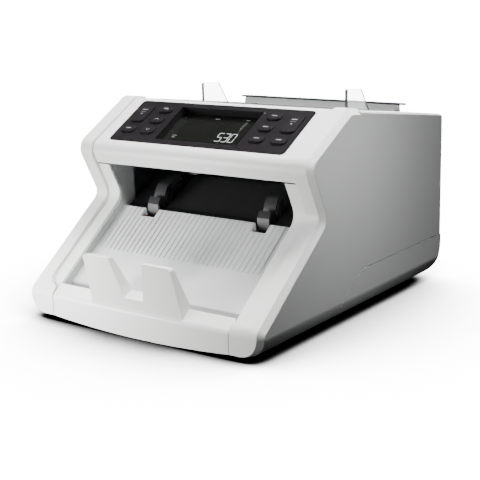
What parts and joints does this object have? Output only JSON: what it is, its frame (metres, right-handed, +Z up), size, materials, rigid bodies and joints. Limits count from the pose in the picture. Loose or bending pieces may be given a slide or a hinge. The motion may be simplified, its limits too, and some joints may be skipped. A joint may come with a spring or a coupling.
{
  "type": "banknote counter",
  "caption": "Desktop banknote counter with a sloped key panel and display, a top hopper with sliding clear guides and an open front pocket fed by finger wheels.",
  "frame": {"origin": "middle of the footprint, on the surface that the feet stand on", "axes": "+X to the right seen from the front, +Y towards the back, +Z up"},
  "size_m": [0.248, 0.3075, 0.1856],
  "materials": {
    "white_shell": "fine-textured moulded ABS",
    "grey_shell": "fine-textured moulded ABS",
    "pocket_grey": "moulded ABS",
    "ramp_plastic": "ribbed moulded ABS",
    "dark_plastic": "satin moulded ABS",
    "key_plastic": "satin keys",
    "display_glass": "dark display window",
    "clear_guide": "clear acrylic",
    "black_plastic": "moulded black plastic",
    "circuit_board": "fibreglass board with solder mask",
    "steel": "zinc-plated steel",
    "bearing_bronze": "sintered bronze",
    "roller_rubber": "ground rubber tyres",
    "belt_rubber": "moulded rubber",
    "rocker_red": "moulded rocker"
  },
  "bodies": {
    "housing": {"left_side_frame": "white_shell", "right_side_frame": "white_shell", "console_cover": "white_shell", "pocket_front": "white_shell", "rear_cover": "white_shell", "base_tray": "grey_shell", "left_side_panel": "grey_shell", "right_side_panel": "grey_shell", "note_support": "grey_shell", "left_pocket_wall": "pocket_grey", "right_pocket_wall": "pocket_grey", "pocket_ramp": "ramp_plastic", "hopper_front": "dark_plastic", "hopper_plate": "dark_plastic", "control_bezel": "dark_plastic", "display_window": "display_glass", "support_lip": "black_plastic", "upper_note_guide": "black_plastic", "lower_note_guide": "black_plastic", "sensor_bars": "black_plastic", "mains_inlet": "black_plastic", "display_module": "circuit_board", "key_boards": "circuit_board", "main_board": "circuit_board", "power_supply": "circuit_board", "guide_rail": "steel", "left_chassis_plate": "steel", "right_chassis_plate": "steel", "tie_rods": "steel", "retard_bracket": "steel", "main_motor": "steel", "housing_screws": "steel", "shaft_bearings": "bearing_bronze", "drive_belts": "belt_rubber", "rubber_feet": "belt_rubber"},
    "key_left_tall": {"key_left_tall": "key_plastic"},
    "key_left_top": {"key_left_top": "key_plastic"},
    "key_left_up": {"key_left_up": "key_plastic"},
    "key_left_down": {"key_left_down": "key_plastic"},
    "key_left_low": {"key_left_low": "key_plastic"},
    "key_right_tall": {"key_right_tall": "key_plastic"},
    "key_right_top": {"key_right_top": "key_plastic"},
    "key_right_middle": {"key_right_middle": "key_plastic"},
    "key_right_bottom": {"key_right_bottom": "key_plastic"},
    "key_right_low": {"key_right_low": "key_plastic"},
    "left_guide": {"left_guide": "clear_guide"},
    "right_guide": {"right_guide": "clear_guide"},
    "motor_rotor": {"motor_pulley": "steel"},
    "rear_transport": {"rear_transport_roller": "roller_rubber"},
    "front_transport": {"front_transport_roller": "roller_rubber", "encoder_disc": "black_plastic"},
    "feed": {"feed_roller": "roller_rubber"},
    "pickup": {"pickup_roller": "roller_rubber"},
    "stacker": {"stacker_shaft": "steel", "stacker_wheels": "black_plastic"},
    "rear_pinch": {"rear_pinch_roller": "roller_rubber"},
    "front_pinch": {"front_pinch_roller": "roller_rubber"},
    "retard": {"retard_roller": "roller_rubber"},
    "thickness_knob": {"thickness_knob": "dark_plastic"},
    "power_rocker": {"power_rocker": "rocker_red"}
  },
  "joints": [
    {"name": "key_left_tall_press", "type": "slide", "parent": "housing", "child": "key_left_tall", "axis": [0, 0.4924, -0.8704], "range_m": [0, 0.0012], "stiffness_N_per_m": 400},
    {"name": "key_left_top_press", "type": "slide", "parent": "housing", "child": "key_left_top", "axis": [0, 0.4924, -0.8704], "range_m": [0, 0.0012], "stiffness_N_per_m": 400},
    {"name": "key_left_up_press", "type": "slide", "parent": "housing", "child": "key_left_up", "axis": [0, 0.4924, -0.8704], "range_m": [0, 0.0012], "stiffness_N_per_m": 400},
    {"name": "key_left_down_press", "type": "slide", "parent": "housing", "child": "key_left_down", "axis": [0, 0.4924, -0.8704], "range_m": [0, 0.0012], "stiffness_N_per_m": 400},
    {"name": "key_left_low_press", "type": "slide", "parent": "housing", "child": "key_left_low", "axis": [0, 0.4924, -0.8704], "range_m": [0, 0.0012], "stiffness_N_per_m": 400},
    {"name": "key_right_tall_press", "type": "slide", "parent": "housing", "child": "key_right_tall", "axis": [0, 0.4924, -0.8704], "range_m": [0, 0.0012], "stiffness_N_per_m": 400},
    {"name": "key_right_top_press", "type": "slide", "parent": "housing", "child": "key_right_top", "axis": [0, 0.4924, -0.8704], "range_m": [0, 0.0012], "stiffness_N_per_m": 400},
    {"name": "key_right_middle_press", "type": "slide", "parent": "housing", "child": "key_right_middle", "axis": [0, 0.4924, -0.8704], "range_m": [0, 0.0012], "stiffness_N_per_m": 400},
    {"name": "key_right_bottom_press", "type": "slide", "parent": "housing", "child": "key_right_bottom", "axis": [0, 0.4924, -0.8704], "range_m": [0, 0.0012], "stiffness_N_per_m": 400},
    {"name": "key_right_low_press", "type": "slide", "parent": "housing", "child": "key_right_low", "axis": [0, 0.4924, -0.8704], "range_m": [0, 0.0012], "stiffness_N_per_m": 400},
    {"name": "left_guide_slide", "type": "slide", "parent": "housing", "child": "left_guide", "axis": [1, 0, 0], "range_m": [0, 0.025]},
    {"name": "right_guide_slide", "type": "slide", "parent": "housing", "child": "right_guide", "axis": [-1, 0, 0], "range_m": [0, 0.025]},
    {"name": "stacker_spin", "type": "hinge", "parent": "housing", "child": "stacker", "pos_m": [0, -0.0163, 0.073], "axis": [1, 0, 0], "continuous": true},
    {"name": "motor_spin", "type": "hinge", "parent": "housing", "child": "motor_rotor", "pos_m": [0, 0.0907, 0.061], "axis": [1, 0, 0], "continuous": true},
    {"name": "rear_transport_spin", "type": "hinge", "parent": "housing", "child": "rear_transport", "pos_m": [0, 0.0557, 0.098], "axis": [1, 0, 0], "continuous": true},
    {"name": "front_transport_spin", "type": "hinge", "parent": "housing", "child": "front_transport", "pos_m": [0, 0.0177, 0.098], "axis": [1, 0, 0], "continuous": true},
    {"name": "feed_spin", "type": "hinge", "parent": "housing", "child": "feed", "pos_m": [0, 0.09799, 0.11182], "axis": [1, 0, 0], "continuous": true},
    {"name": "pickup_spin", "type": "hinge", "parent": "housing", "child": "pickup", "pos_m": [0, 0.11924, 0.13735], "axis": [1, 0, 0], "continuous": true},
    {"name": "rear_pinch_spin", "type": "hinge", "parent": "housing", "child": "rear_pinch", "pos_m": [0, 0.0557, 0.1174], "axis": [1, 0, 0], "continuous": true},
    {"name": "front_pinch_spin", "type": "hinge", "parent": "housing", "child": "front_pinch", "pos_m": [0, 0.0177, 0.1174], "axis": [1, 0, 0], "continuous": true},
    {"name": "retard_spin", "type": "hinge", "parent": "housing", "child": "retard", "pos_m": [0, 0.07851, 0.13249], "axis": [1, 0, 0], "continuous": true},
    {"name": "thickness_knob_turn", "type": "hinge", "parent": "housing", "child": "thickness_knob", "pos_m": [0, 0.0287, 0.16067], "axis": [0, 0.5831, 0.8124], "range_deg": [0, 300]},
    {"name": "power_rocker_tilt", "type": "hinge", "parent": "housing", "child": "power_rocker", "pos_m": [0.07, 0.1477, 0.0845], "axis": [1, 0, 0], "range_deg": [0, 16]}
  ],
  "couplings": [
    {"joint": "motor_spin", "follows": "stacker_spin", "ratio": 3},
    {"joint": "rear_transport_spin", "follows": "stacker_spin", "ratio": 1.75},
    {"joint": "front_transport_spin", "follows": "stacker_spin", "ratio": 1.75},
    {"joint": "feed_spin", "follows": "stacker_spin", "ratio": 1.3125},
    {"joint": "pickup_spin", "follows": "stacker_spin", "ratio": 1.3125},
    {"joint": "rear_pinch_spin", "follows": "stacker_spin", "ratio": -2.4062},
    {"joint": "front_pinch_spin", "follows": "stacker_spin", "ratio": -2.4062}
  ]
}
